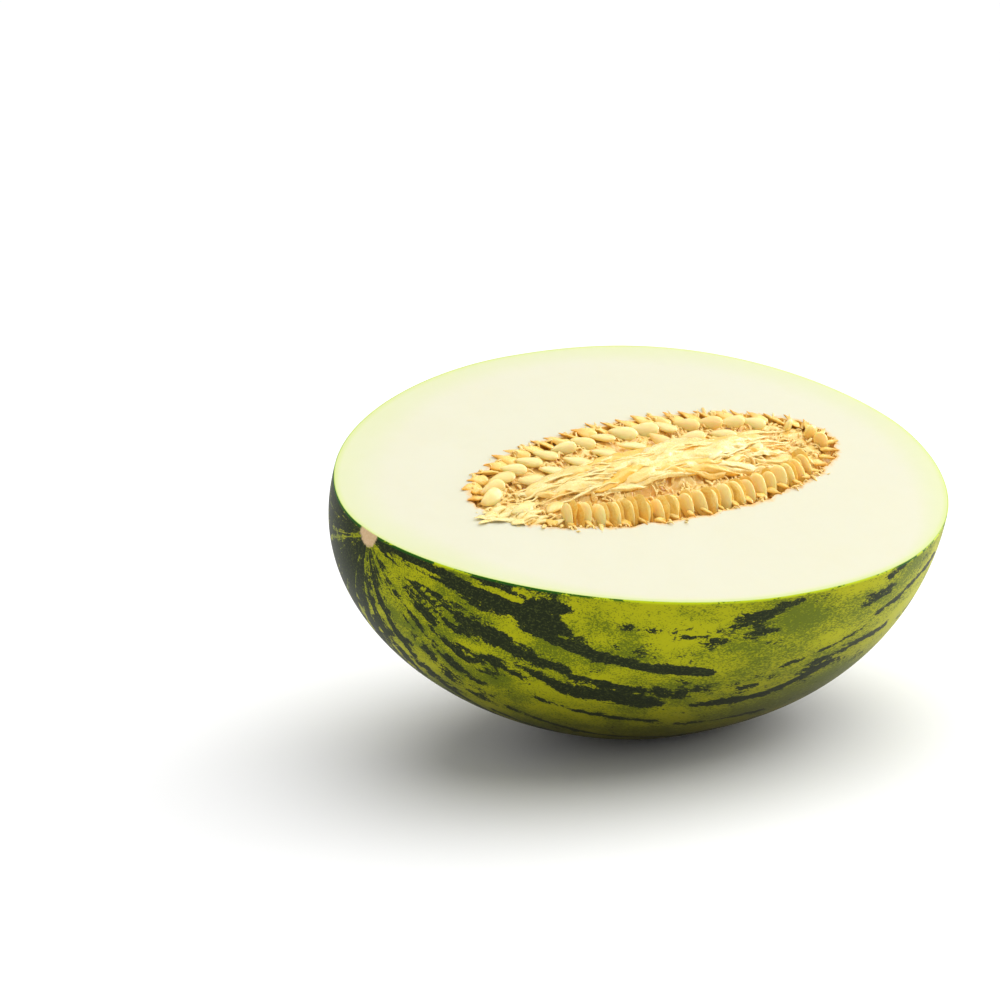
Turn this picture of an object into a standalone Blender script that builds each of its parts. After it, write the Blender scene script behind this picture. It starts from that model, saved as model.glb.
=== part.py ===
"""Half of a long green melon with a smooth striped rind, cut along its length.

The half lies skin side down on a small flattened spot and leans a little, so that its
cut face looks up and to the front.  Rind and flesh grow as one piece, hollowed by the
seed cavity.  The cavity holds soft pulp, and the seeds sit in pockets in that pulp.

Metres.  +X runs from the stem end to the blossom end, +Y to the back and +Z up.  The
origin is under the middle of the half, on the surface that it rests on.
"""

import math

import bmesh
import bpy
from mathutils import Matrix, Vector

# Melon: a spindle turned about its long axis, a little taller than it is wide.
MELON_LENGTH = 0.240
MELON_WIDTH = 0.172
MELON_TALL_TO_WIDE = 1.07
STEM_FULLNESS = 1.88      # exponent of the outline towards the stem, 2 is an ellipse
BLOSSOM_FULLNESS = 2.39   # the blossom end is blunter
SIDE_FULLNESS = 1.82
BLOSSOM_SWELL = 0.059     # how much wider the blossom half is than the stem half
PROFILE_POINTS = 29
TURN_STEPS = 64

# How it is cut, and how it lies.
CUT_ABOVE_AXIS = 0.0057
LEAN = math.radians(17.9)
REST_FLAT_DEPTH = 0.0020

# Seed cavity: an ellipsoid whose middle lies on the cut face.
CAVITY_LENGTH = 0.160
CAVITY_WIDTH = 0.063
CAVITY_DEPTH = 0.036
CAVITY_MIDDLE = Vector((0.006, -0.0018, 0.0))
CAVITY_TURN = math.radians(3.0)
CAVITY_SEGMENTS = 40
CAVITY_RINGS = 20

# Pulp: fills the cavity to a shoulder, with the fibrous core standing out of it.
PULP_CLEARANCE = 0.0003
PULP_BELOW_CUT = 0.0010
CORE_LENGTH = 0.138
CORE_WIDTH = 0.030
CORE_ABOVE_CUT = 0.0038
CORE_ROOT_DEPTH = 0.0060
CORE_SEGMENTS = 28
CORE_RINGS = 12

# Seeds: flat drops, pointed at one end.
SEED_LENGTH = 0.0110
SEED_WIDTH = 0.0052
SEED_THICKNESS = 0.0024
SEED_TAPER = 0.42
SEED_SEGMENTS = 8
SEED_RINGS = 7
SEED_CLEARANCE = 0.00045
SEED_TO_RIM = 0.0014
SEED_ROW_GAP = 0.0024

# Rows of seeds around the rim of the cavity.  Angles run around the rim from the
# blossom end over the back.  dip is how far the point looks down, turn how far it
# looks along the rim, and roll goes from 0, on edge, to 90, lying flat.  rise is the
# height of a seed's middle over the pulp under it, and rows_in counts the rows outside it.
SEED_ROWS = (
    {"name": "front", "count": 20, "start": 225, "end": 314, "rows_in": 0,
     "dip": 43, "turn": 4, "roll": -16, "rise": 0.0013},
    {"name": "blossom", "count": 3, "start": 345, "end": 385, "rows_in": 0,
     "dip": 52, "turn": -8, "roll": 20, "rise": 0.0006},
    {"name": "back", "count": 16, "start": 42, "end": 170, "rows_in": 0,
     "dip": 8, "turn": 46, "roll": 52, "rise": 0.0015},
    {"name": "inner", "count": 8, "start": 58, "end": 136, "rows_in": 1,
     "dip": 4, "turn": 52, "roll": 64, "rise": 0.0016},
)

# Seeds that came loose and lie on the core: place along and across it, and heading.
LOOSE_SEEDS = (
    (-0.0660, -0.0064, 188),
    (-0.0540, -0.0085, 198),
    (0.020, -0.0035, 204),
    (0.044, -0.0010, 30),
)
LOOSE_SEED_SINK = 0.25    # share of its thickness that a loose seed has sunk in

RIND_GREEN = (0.19, 0.27, 0.035)
FLESH_CREAM = (0.93, 0.90, 0.68)
PULP_ORANGE = (0.83, 0.50, 0.16)
SEED_CREAM = (0.86, 0.68, 0.36)


def clear_scene():
    for obj in list(bpy.data.objects):
        bpy.data.objects.remove(obj, do_unlink=True)


def new_collection(name):
    collection = bpy.data.collections.new(name)
    bpy.context.scene.collection.children.link(collection)
    return collection


def new_material(name, color, roughness):
    material = bpy.data.materials.new(name)
    material.use_nodes = True
    shader = material.node_tree.nodes["Principled BSDF"]
    shader.inputs["Base Color"].default_value = (*color, 1.0)
    shader.inputs["Roughness"].default_value = roughness
    shader.inputs["Metallic"].default_value = 0.0
    return material


def new_object(name, mesh, collection, parent, matrix):
    obj = bpy.data.objects.new(name, mesh)
    collection.objects.link(obj)
    obj.parent = parent
    obj.matrix_local = matrix
    return obj


def new_empty(name, collection, parent=None):
    empty = bpy.data.objects.new(name, None)
    collection.objects.link(empty)
    empty.parent = parent
    empty.empty_display_size = 0.02
    return empty


def mark_as_cutter(obj):
    obj.display_type = "WIRE"
    obj.hide_render = True
    return obj


def box_mesh(name, size, material):
    mesh = bpy.data.meshes.new(name)
    bm = bmesh.new()
    bmesh.ops.create_cube(bm, size=1.0, matrix=Matrix.Diagonal((*size, 1.0)))
    bm.to_mesh(mesh)
    bm.free()
    mesh.materials.append(material)
    return mesh


def ellipsoid_mesh(name, half_sizes, segments, rings, material):
    """A sphere with its poles on the long axis, stretched to its half sizes."""
    mesh = bpy.data.meshes.new(name)
    bm = bmesh.new()
    bmesh.ops.create_uvsphere(
        bm, u_segments=segments, v_segments=rings, radius=1.0,
        matrix=Matrix.Rotation(math.pi / 2, 4, "Y"),
    )
    bmesh.ops.transform(bm, matrix=Matrix.Diagonal((*half_sizes, 1.0)), verts=bm.verts)
    bm.to_mesh(mesh)
    bm.free()
    mesh.materials.append(material)
    return mesh


def seed_mesh(name, spare, material):
    """A flat drop that points along +X, larger by spare on every side."""
    mesh = ellipsoid_mesh(name, (1, 1, 1), SEED_SEGMENTS, SEED_RINGS, material)
    for vertex in mesh.vertices:
        along, across, up = vertex.co
        narrowing = 1 - SEED_TAPER * along
        vertex.co.x = (SEED_LENGTH / 2 + spare) * along
        vertex.co.y = (SEED_WIDTH / 2 * narrowing + spare) * across
        vertex.co.z = (SEED_THICKNESS / 4 * (1 + narrowing) + spare) * up
    mesh.shade_smooth()
    return mesh


def cut(obj, name, operand, operation="DIFFERENCE"):
    """Boolean that carries the cutter's material onto the faces it leaves."""
    boolean = obj.modifiers.new(name, "BOOLEAN")
    boolean.operation = operation
    boolean.solver = "EXACT"
    boolean.material_mode = "TRANSFER"
    if isinstance(operand, bpy.types.Collection):
        boolean.operand_type = "COLLECTION"
        boolean.collection = operand
    else:
        boolean.object = operand


def keep_result(obj, sharp_angle):
    """Replace the object's mesh and modifiers by the mesh that they make."""
    bpy.context.view_layer.update()
    evaluated = obj.evaluated_get(bpy.context.evaluated_depsgraph_get())
    mesh = bpy.data.meshes.new_from_object(evaluated)
    obj.modifiers.clear()
    obj.data = mesh
    mesh.name = obj.name
    mesh.shade_smooth()
    mesh.set_sharp_from_angle(angle=math.radians(sharp_angle))


def melon_radius(along):
    """Half the melon's width at a place along it, from -1 at the stem to 1."""
    fullness = STEM_FULLNESS if along < 0 else BLOSSOM_FULLNESS
    outline = (1 - abs(along) ** fullness) ** (1 / SIDE_FULLNESS)
    return MELON_WIDTH / 2 * outline * (1 + BLOSSOM_SWELL * along)


def melon_profile_mesh(material):
    """The outline of one side, from the blossom end down to the stem end."""
    places = [math.cos(math.pi * i / (PROFILE_POINTS - 1)) for i in range(PROFILE_POINTS)]
    points = [(melon_radius(place), 0, MELON_LENGTH / 2 * place) for place in places]
    edges = [(i, i + 1) for i in range(PROFILE_POINTS - 1)]
    mesh = bpy.data.meshes.new("melon_profile")
    mesh.from_pydata(points, edges, [])
    mesh.materials.append(material)
    return mesh


def depth_under_axis():
    """How far the lowest point of the leaning melon lies under its long axis."""
    widest = max(melon_radius(i / 200) for i in range(-200, 201))
    return widest * math.hypot(math.sin(LEAN), MELON_TALL_TO_WIDE * math.cos(LEAN))


def make_melon_half(parts, cutters, origin, leaning, rind, flesh):
    # The Screw modifier turns about its own Z, which is laid along the melon's X.
    lay_down = Matrix.Rotation(math.pi / 2, 4, "Y")
    oval = Matrix.Diagonal((MELON_TALL_TO_WIDE, 1.0, 1.0, 1.0))
    half = new_object("melon_half", melon_profile_mesh(rind), parts, leaning, lay_down @ oval)
    screw = half.modifiers.new("turned", "SCREW")
    screw.axis = "Z"
    screw.steps = TURN_STEPS
    screw.render_steps = TURN_STEPS
    screw.use_merge_vertices = True
    screw.merge_threshold = 0.00001

    block = MELON_LENGTH * 1.2
    lid = new_object(
        "knife_cut", box_mesh("knife_cut", (block, block, block), flesh), cutters, leaning,
        Matrix.Translation((0, 0, CUT_ABOVE_AXIS + block / 2)),
    )
    hollow = new_object(
        "cavity_cutter",
        ellipsoid_mesh(
            "cavity_cutter", (CAVITY_LENGTH / 2, CAVITY_WIDTH / 2, CAVITY_DEPTH),
            CAVITY_SEGMENTS, CAVITY_RINGS, flesh,
        ),
        cutters, leaning, cavity_matrix(),
    )
    floor_top = REST_FLAT_DEPTH - depth_under_axis()
    floor = new_object(
        "rest_cutter", box_mesh("rest_cutter", (block, block, block), rind), cutters, origin,
        Matrix.Translation((0, 0, floor_top - block / 2)),
    )
    for cutter in (lid, hollow, floor):
        cut(half, cutter.name, mark_as_cutter(cutter))
    keep_result(half, sharp_angle=35)
    return half


def cavity_matrix():
    """Places the cavity's own axes on the cut face of the melon."""
    middle = CAVITY_MIDDLE + Vector((0, 0, CUT_ABOVE_AXIS))
    return Matrix.Translation(middle) @ Matrix.Rotation(CAVITY_TURN, 4, "Z")


def rim_point(angle):
    half_length = CAVITY_LENGTH / 2
    half_width = CAVITY_WIDTH / 2
    return Vector((half_length * math.cos(angle), half_width * math.sin(angle), 0))


def rim_outward(angle):
    """The direction in the cut face that points straight away from the cavity."""
    half_length = CAVITY_LENGTH / 2
    half_width = CAVITY_WIDTH / 2
    return Vector((half_width * math.cos(angle), half_length * math.sin(angle), 0)).normalized()


def even_rim_angles(start, end, count):
    """Angles whose points are the same distance apart along the rim."""
    steps = 720
    angles = [math.radians(start + (end - start) * i / steps) for i in range(steps + 1)]
    travelled = [0.0]
    for before, after in zip(angles, angles[1:]):
        travelled.append(travelled[-1] + (rim_point(after) - rim_point(before)).length)
    chosen = []
    for i in range(count):
        wanted = travelled[-1] * i / (count - 1)
        nearest = min(range(steps + 1), key=lambda k: abs(travelled[k] - wanted))
        chosen.append(angles[nearest])
    return chosen


def seed_matrix(place, point, side, roll):
    """Seed at a place, its point along one direction and rolled up from its side."""
    face = Matrix.Rotation(roll, 3, point) @ side
    across = face.cross(point)
    turned = Matrix((point, across, face)).transposed()
    return Matrix.Translation(place) @ turned.to_4x4()


def pulp_height(place):
    """Height of the pulp at a place, over the cut face and in the cavity's own axes."""
    half_height = CORE_ABOVE_CUT + CORE_ROOT_DEPTH
    spent = (2 * place.x / CORE_LENGTH) ** 2 + (2 * place.y / CORE_WIDTH) ** 2
    core = half_height * math.sqrt(max(0.0, 1 - spent)) - CORE_ROOT_DEPTH
    return max(core, -PULP_BELOW_CUT)


def row_matrices(row):
    """Where the seeds of one row sit, in the cavity's own axes."""
    up = Vector((0, 0, 1))
    dip = math.radians(row["dip"])
    turn = math.radians(row["turn"])
    reach = SEED_LENGTH / 2 * math.cos(dip) * math.cos(turn)
    spread = SEED_WIDTH / 2 * abs(math.sin(turn))
    inset = SEED_TO_RIM + reach + spread + row["rows_in"] * (2 * reach + SEED_ROW_GAP)
    matrices = []
    for angle in even_rim_angles(row["start"], row["end"], row["count"]):
        outward = rim_outward(angle)
        level = Matrix.Rotation(turn, 3, up) @ outward
        point = level * math.cos(dip) - up * math.sin(dip)
        side = up.cross(level)
        place = rim_point(angle) - outward * inset
        place.z = pulp_height(place) + row["rise"]
        matrices.append(seed_matrix(place, point, side, math.radians(row["roll"])))
    return matrices


def loose_matrices():
    """Where the loose seeds lie, flat on the pulp and level."""
    up = Vector((0, 0, 1))
    matrices = []
    for along, across, heading in LOOSE_SEEDS:
        turn = math.radians(heading)
        point = Vector((math.cos(turn), math.sin(turn), 0))
        side = up.cross(point)
        place = Vector((along, across, 0))
        place.z = pulp_height(place) + SEED_THICKNESS * (0.5 - LOOSE_SEED_SINK)
        matrices.append(seed_matrix(place, point, side, math.radians(90)))
    return matrices


def seed_places():
    """Every seed's name and its matrix in the cavity's own axes."""
    rows = [(row["name"], row_matrices(row)) for row in SEED_ROWS]
    rows.append(("loose", loose_matrices()))
    return [
        (f"seed_{name}_{i + 1:02d}", matrix)
        for name, matrices in rows
        for i, matrix in enumerate(matrices)
    ]


def make_seeds(parts, leaning, material):
    mesh = seed_mesh("seed", 0.0, material)
    for name, matrix in seed_places():
        new_object(name, mesh, parts, leaning, cavity_matrix() @ matrix)


def make_seed_pulp(parts, cutters, pockets, leaning, material):
    half_sizes = (
        CAVITY_LENGTH / 2 - PULP_CLEARANCE,
        CAVITY_WIDTH / 2 - PULP_CLEARANCE,
        CAVITY_DEPTH - PULP_CLEARANCE,
    )
    filling = ellipsoid_mesh("seed_pulp", half_sizes, CAVITY_SEGMENTS, CAVITY_RINGS, material)
    pulp = new_object("seed_pulp", filling, parts, leaning, cavity_matrix())

    block = CAVITY_LENGTH * 1.2
    lid = new_object(
        "pulp_level", box_mesh("pulp_level", (block, block, block), material), cutters, leaning,
        cavity_matrix() @ Matrix.Translation((0, 0, block / 2 - PULP_BELOW_CUT)),
    )
    cut(pulp, lid.name, mark_as_cutter(lid))

    core_sizes = (CORE_LENGTH / 2, CORE_WIDTH / 2, CORE_ABOVE_CUT + CORE_ROOT_DEPTH)
    core = new_object(
        "pulp_core",
        ellipsoid_mesh("pulp_core", core_sizes, CORE_SEGMENTS, CORE_RINGS, material),
        cutters, leaning, cavity_matrix() @ Matrix.Translation((0, 0, -CORE_ROOT_DEPTH)),
    )
    cut(pulp, core.name, mark_as_cutter(core), "UNION")

    pocket = seed_mesh("seed_pocket", SEED_CLEARANCE, material)
    for name, matrix in seed_places():
        cutter = new_object(f"pocket_{name}", pocket, pockets, leaning, cavity_matrix() @ matrix)
        mark_as_cutter(cutter)
    cut(pulp, "seed_pockets", pockets)
    keep_result(pulp, sharp_angle=40)


def centre_under(obj, origin):
    """Slide the model level so that the origin is under the middle of one object."""
    bpy.context.view_layer.update()
    corners = [obj.matrix_world @ vertex.co for vertex in obj.data.vertices]
    for axis in (0, 1):
        low = min(corner[axis] for corner in corners)
        high = max(corner[axis] for corner in corners)
        origin.location[axis] -= (low + high) / 2


def main():
    clear_scene()
    parts = new_collection("half_melon")
    cutters = new_collection("cutters")
    pockets = new_collection("seed_pockets")

    origin = new_empty("melon_origin", parts)
    leaning = new_empty("melon_lean", parts, origin)
    leaning.rotation_euler.x = LEAN

    rind = new_material("rind", RIND_GREEN, 0.38)
    flesh = new_material("flesh", FLESH_CREAM, 0.42)
    pulp = new_material("pulp", PULP_ORANGE, 0.30)
    seed = new_material("seed", SEED_CREAM, 0.32)

    half = make_melon_half(parts, cutters, origin, leaning, rind, flesh)
    make_seed_pulp(parts, cutters, pockets, leaning, pulp)
    make_seeds(parts, leaning, seed)

    origin.location.z = depth_under_axis() - REST_FLAT_DEPTH
    centre_under(half, origin)


main()
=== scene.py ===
# %% [markdown]
# # Half of a green striped melon
#
# This lesson dresses a plain CAD model of half a melon until it looks like fruit.  The CAD
# model is the frame: it says how large every piece is and where it lies.  Each step below
# makes one piece or one finish, and says first what it is on a real melon.
#
# The frame comes in first.  Its box is kept, because the finished model may not grow past it.

# %% Load the frame
import math

import bmesh
import bpy
import numpy as np
from mathutils import Matrix, Vector, noise


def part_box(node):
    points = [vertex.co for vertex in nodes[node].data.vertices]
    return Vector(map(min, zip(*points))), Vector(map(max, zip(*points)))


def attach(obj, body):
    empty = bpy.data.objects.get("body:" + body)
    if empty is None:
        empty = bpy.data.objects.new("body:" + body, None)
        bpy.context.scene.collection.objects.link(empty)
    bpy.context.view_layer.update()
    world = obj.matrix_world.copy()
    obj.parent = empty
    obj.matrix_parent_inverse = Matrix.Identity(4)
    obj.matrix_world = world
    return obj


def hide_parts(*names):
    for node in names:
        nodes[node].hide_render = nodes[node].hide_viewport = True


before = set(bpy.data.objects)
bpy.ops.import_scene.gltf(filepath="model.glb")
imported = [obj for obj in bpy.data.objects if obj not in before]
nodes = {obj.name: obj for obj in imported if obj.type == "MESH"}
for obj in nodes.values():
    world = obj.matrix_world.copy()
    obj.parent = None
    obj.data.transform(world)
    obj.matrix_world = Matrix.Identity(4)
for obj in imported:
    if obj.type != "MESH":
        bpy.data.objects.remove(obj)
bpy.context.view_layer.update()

# %% [markdown]
# ## The melon's own axes
#
# A melon grows round a line from its stem to its blossom, so everything on it is easiest to
# describe along and around that line.  The half leans on its side, and the frame's box says
# how far it has been lifted and shifted.  The outline is a stretched circle whose exponents
# make the stem end more pointed than the blossom end.

# %% Sizes that the frame was drawn with
LEAN = math.radians(17.9)
TALL_TO_WIDE = 1.07
STEM_FULLNESS, BLOSSOM_FULLNESS, SIDE_FULLNESS = 1.88, 2.39, 1.82
BLOSSOM_SWELL = 0.059
CUT_HEIGHT = 0.0057
WIDTH = 0.172
CAVITY_LENGTH, CAVITY_WIDTH, CAVITY_DEPTH = 0.160, 0.063, 0.036
CAVITY_MIDDLE = Vector((0.006, -0.0018, 0.0))
CAVITY_TURN = math.radians(3.0)

half_low, half_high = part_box("melon_half")
LENGTH = half_high.x - half_low.x


def melon_radius(along):
    """Half the width at places along the melon, from -1 at the stem to 1."""
    along = np.clip(along, -1, 1)
    fullness = np.where(along < 0, STEM_FULLNESS, BLOSSOM_FULLNESS)
    outline = np.maximum(0, 1 - np.abs(along) ** fullness) ** (1 / SIDE_FULLNESS)
    return WIDTH / 2 * outline * (1 + BLOSSOM_SWELL * along)


def is_inside(points):
    """Which points lie inside the whole melon."""
    spread = points[:, 1] ** 2 + (points[:, 2] / TALL_TO_WIDE) ** 2
    along = points[:, 0] / (LENGTH / 2)
    return (np.abs(along) < 1) & (spread < melon_radius(along) ** 2)


def skin_points(directions):
    """Where rays from the middle of the cut face leave the melon."""
    start = np.array([0, 0, CUT_HEIGHT])
    near, far = np.zeros(len(directions)), np.full(len(directions), 2.0)
    for _ in range(40):
        middle = (near + far) / 2
        inside = is_inside(start + directions * middle[:, None])
        near = np.where(inside, middle, near)
        far = np.where(inside, far, middle)
    return start + directions * near[:, None]


print("melon", round(LENGTH, 4), "long and", WIDTH, "wide")

# %% [markdown]
# ## Seating the detailed half on the frame
#
# The detailed half is worked out in the melon's own axes and then leaned over.  Comparing
# its box with the frame's box gives the missing shift, so nothing is placed by eye.

# %% The matrix that lays the melon's axes in the frame
turns = np.linspace(0, 2 * math.pi, 721)[:-1]
dips = np.linspace(0, math.pi / 2, 91)


def bowl_directions(turns, dip):
    """Directions round the half at one angle below the cut face."""
    return np.column_stack([
        np.cos(turns) * math.cos(dip) * LENGTH / 2,
        np.sin(turns) * math.cos(dip) * WIDTH / 2,
        np.full(len(turns), -math.sin(dip) * WIDTH / 2),
    ])


lean = np.array(Matrix.Rotation(LEAN, 3, "X"))
bowl = np.vstack([skin_points(bowl_directions(turns, dip)) for dip in dips]) @ lean.T
middle_y = (half_low.y + half_high.y) / 2 - (bowl[:, 1].min() + bowl[:, 1].max()) / 2
middle_z = half_high.z - bowl[:, 2].max()
melon_matrix = Matrix.Translation((0, middle_y, middle_z)) @ Matrix.Rotation(LEAN, 4, "X")
cavity_matrix = melon_matrix @ Matrix.Translation(CAVITY_MIDDLE + Vector((0, 0, CUT_HEIGHT)))
cavity_matrix = cavity_matrix @ Matrix.Rotation(CAVITY_TURN, 4, "Z")
print("the melon's middle is at y", round(middle_y, 4), "z", round(middle_z, 4))

# %% [markdown]
# ## One helper for every woven mesh
#
# A bowl, a seed, a strand and a membrane are all the same thing to a modeller: a row of
# rings joined by quads, with one point in the middle of each end.  Writing that once keeps
# each piece below short.

# %% Rings to mesh


def turned_volume(points, quads, caps):
    """Below zero where a closed mesh's faces look inwards."""
    corners = np.vstack([quads[:, [0, 1, 2]], quads[:, [0, 2, 3]], caps])
    a, b, c = (points[corners[:, k]] for k in range(3))
    return np.einsum("ij,ij->i", a, np.cross(b, c)).sum()


def ring_mesh(name, rings):
    """Joins rings of points, each an array of the same length, into one closed mesh."""
    rings = [np.asarray(ring, float) for ring in rings]
    count = len(rings[0])
    here = np.arange(count)
    after = (here + 1) % count
    faces = []
    for level in range(len(rings) - 1):
        low, high = level * count, (level + 1) * count
        faces.append(np.column_stack([low + here, low + after, high + after, high + here]))
    quads = np.vstack(faces)
    points = np.vstack(rings)
    caps = []
    for level, first, second in ((0, after, here), (len(rings) - 1, here, after)):
        tip = len(points)
        points = np.vstack([points, rings[level].mean(axis=0)])
        caps += [(level * count + a, level * count + b, tip) for a, b in zip(first, second)]
    caps = np.array(caps, int)
    if turned_volume(points, quads, caps) < 0:
        quads, caps = quads[:, ::-1], caps[:, ::-1]
    mesh = bpy.data.meshes.new(name)
    mesh.from_pydata(points.tolist(), [], quads.tolist() + caps.tolist())
    mesh.shade_smooth()
    return mesh


def join_meshes(name, meshes):
    """One mesh that holds several, with no change to their points."""
    bm = bmesh.new()
    for mesh in meshes:
        bm.from_mesh(mesh)
        bpy.data.meshes.remove(mesh)
    joined = bpy.data.meshes.new(name)
    bm.to_mesh(joined)
    bm.free()
    joined.shade_smooth()
    return joined


print("ring builder ready")

# %% [markdown]
# Every visible piece is hung on the frame in the same way, and many carry numbers on their
# points: how hollow a place is, how far it is from the cut.  A material reads those numbers
# by name, so a colour can follow the shape with no painted picture.

# %% Adding a piece and storing numbers on its points
CRUMPLE_SEED = 11
noise.seed_set(CRUMPLE_SEED)  # without a seed, noise_vector takes its offsets from the clock


def add_piece(name, mesh, material, matrix=None, body="root"):
    """A visible piece that rides on a CAD body."""
    piece = bpy.data.objects.new(name, mesh)
    bpy.context.scene.collection.objects.link(piece)
    piece.matrix_world = matrix or Matrix.Identity(4)
    if not mesh.materials:
        mesh.materials.append(material)
    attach(piece, body)
    return piece


def store(mesh, name, values):
    """Keeps one number for every point of a mesh, for its material to read."""
    layer = mesh.attributes.new(name, "FLOAT", "POINT")
    layer.data.foreach_set("value", np.asarray(values, np.float32))


def store_places(mesh, name, places):
    """Keeps one place for every point of a mesh."""
    layer = mesh.attributes.new(name, "FLOAT_VECTOR", "POINT")
    layer.data.foreach_set("vector", np.asarray(places, np.float32).ravel())


def wave(points, scale, seed=0.0):
    """Smooth noise from -1 to 1 at points, with lumps about 1 / scale across."""
    shift = Vector((seed, seed * 1.7, seed * 2.3))
    return np.array([noise.noise(Vector(point) * scale + shift) for point in points])


def crumple(mesh, scale, amount):
    """Moves each point by a smooth noise, so that a clean form looks grown."""
    for vertex in mesh.vertices:
        vertex.co += noise.noise_vector(vertex.co * scale) * amount


print("mesh helpers ready")

# %% [markdown]
# ## Writing shader maths as sums
#
# A material is a graph of nodes, but it reads better as arithmetic.  A Wire holds one
# socket, and adding or multiplying wires adds the Math nodes that do it.  Everything else
# goes through one method, node, which sets a node's settings and then its sockets.

# %% The wire and the shader builder


class Wire:
    def __init__(self, shader, socket):
        self.shader = shader
        self.socket = socket

    def math(self, operation, *others):
        values = dict(enumerate((self, *others)))
        return self.shader.node("ShaderNodeMath", {"operation": operation}, values)

    def __add__(self, other):
        return self.math("ADD", other)

    __radd__ = __add__

    def __mul__(self, other):
        return self.math("MULTIPLY", other)

    __rmul__ = __mul__

    def __sub__(self, other):
        return self.math("SUBTRACT", other)

    def __rsub__(self, other):
        return self.shader.node("ShaderNodeMath", {"operation": "SUBTRACT"}, {0: other, 1: self})

    def __truediv__(self, other):
        return self.math("DIVIDE", other)

    def fade(self, low, high):
        """0 below low, 1 above high and smooth between."""
        ends = {"Value": self, "From Min": low, "From Max": high}
        return self.shader.node("ShaderNodeMapRange", {"interpolation_type": "SMOOTHSTEP"}, ends)


class Shader:
    def __init__(self, name):
        self.material = bpy.data.materials.new(name)
        self.material.use_nodes = True
        self.tree = self.material.node_tree
        self.surface = self.tree.nodes["Principled BSDF"]

    def node(self, kind, settings=None, sockets=None, output=0):
        made = self.tree.nodes.new(kind)
        for key, value in (settings or {}).items():
            setattr(made, key, value)
        for key, value in (sockets or {}).items():
            self.feed(made.inputs[key], value)
        return Wire(self, made.outputs[output])

    def feed(self, socket, value):
        if isinstance(value, Wire):
            self.tree.links.new(value.socket, socket)
        elif isinstance(value, tuple) and socket.type == "RGBA":
            socket.default_value = (*value, 1.0)
        else:
            socket.default_value = value

    def stored(self, name):
        return self.node("ShaderNodeAttribute", {"attribute_name": name}, output="Fac")

    def place(self):
        """The point's own x, y and z in its object's axes."""
        point = self.node("ShaderNodeTexCoord", output="Object")
        return [self.node("ShaderNodeSeparateXYZ", None, {0: point}, axis) for axis in "XYZ"]

    def grown(self):
        """The point's x, y and z in the melon's own axes, as stored on the half."""
        point = self.node("ShaderNodeAttribute", {"attribute_name": "grown"}, output="Vector")
        return [self.node("ShaderNodeSeparateXYZ", None, {0: point}, axis) for axis in "XYZ"]

    def join(self, x, y, z):
        return self.node("ShaderNodeCombineXYZ", None, {"X": x, "Y": y, "Z": z})

    def noise(self, vector, scale, detail=2.0, roughness=0.5):
        sockets = {"Vector": vector, "Scale": scale, "Detail": detail, "Roughness": roughness}
        return self.node("ShaderNodeTexNoise", None, sockets, "Fac")

    def mix(self, share, first, second):
        """A colour between two, by a share from 0 to 1."""
        sockets = {"Factor": share, 6: first, 7: second}
        return self.node("ShaderNodeMix", {"data_type": "RGBA"}, sockets, 2)

    def bump(self, height, distance, strength=1.0):
        sockets = {"Height": height, "Distance": distance, "Strength": strength}
        return self.node("ShaderNodeBump", None, sockets)

    def finish(self, **sockets):
        for key, value in sockets.items():
            self.feed(self.surface.inputs[key.replace("_", " ")], value)
        return self.material


def linear(level):
    """One screen level from 0 to 255 as linear light, by the sRGB rule."""
    if level > 10:
        return ((level / 255 + 0.055) / 1.055) ** 2.4
    return level / 3295


def tint(red, green, blue):
    """A colour as a screen shows it, from 0 to 255, in the renderer's linear light."""
    return linear(red), linear(green), linear(blue)


print("shader builder ready")

# %% [markdown]
# ## The rind
#
# The rind is waxy and green-yellow.  Dark green bands run from the stem to the blossom,
# narrow and crowded at the stem, and break into blotches towards the blossom.  Their edges
# are not clean: the dark is made of grains, each under a millimetre.
#
# The bands could be painted by noise alone, but then they would not sit where a real
# melon's growth puts them.  So each band is written down once, as a line of places along
# and around the melon, and only its grainy edge comes from noise in the material.

# %% Dark bands and pale streaks
# The line from stem to blossom is turned and raised a little from the melon's own long axis.
SKIN_TURN = math.radians(4.5)
SKIN_POLE_HEIGHT = 0.0044
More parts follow.
